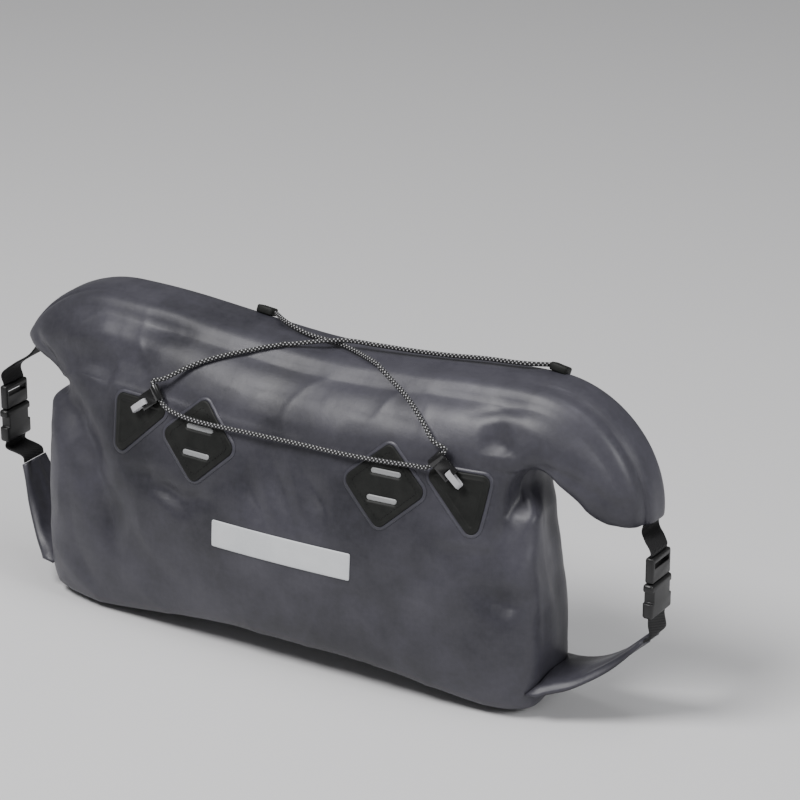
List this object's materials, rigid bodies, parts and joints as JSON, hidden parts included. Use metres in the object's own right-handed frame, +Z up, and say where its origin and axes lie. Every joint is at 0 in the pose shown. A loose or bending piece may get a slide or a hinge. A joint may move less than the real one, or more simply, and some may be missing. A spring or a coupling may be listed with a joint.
{
  "type": "bicycle handlebar bag",
  "caption": "Roll-top handlebar bag of coated fabric with drooping ears, side release buckles, lash patches, a reflective strip and an elastic cord over its top.",
  "frame": {"origin": "on the handlebar's axis at the middle of the bag", "axes": "+X along the handlebar to the viewer's right, -Y to the bag's front, +Z up"},
  "size_m": [0.5869, 0.1494, 0.2491],
  "materials": {
    "coated_cloth": "satin coated ripstop",
    "patch": "matt",
    "webbing": "woven",
    "buckle": "moulded",
    "hook": "glossy",
    "cord": "braided, flecked",
    "tape": "silver woven tape",
    "reflective": "light grey reflective"
  },
  "bodies": {
    "root": {"bag_shell": "coated_cloth", "bar_strap_left": "webbing", "bar_strap_right": "webbing", "base_tab_left": "coated_cloth", "base_tab_right": "coated_cloth", "buckle_prong_left": "buckle", "buckle_prong_right": "buckle", "buckle_socket_left": "buckle", "buckle_socket_right": "buckle", "bungee_cord": "cord", "cord_hook_left": "hook", "cord_hook_right": "hook", "front_strip": "reflective", "hook_patch_left": "patch", "hook_patch_right": "patch", "lash_patch_left": "patch", "lash_patch_right": "patch", "lower_strap_left": "webbing", "lower_strap_right": "webbing", "rear_anchor_left": "patch", "rear_anchor_right": "patch", "slot_strip_left_lower": "reflective", "slot_strip_left_upper": "reflective", "slot_strip_right_lower": "reflective", "slot_strip_right_upper": "reflective", "tape_loop_left": "tape", "tape_loop_right": "tape", "upper_strap_left": "webbing", "upper_strap_right": "webbing"}
  },
  "joints": []
}
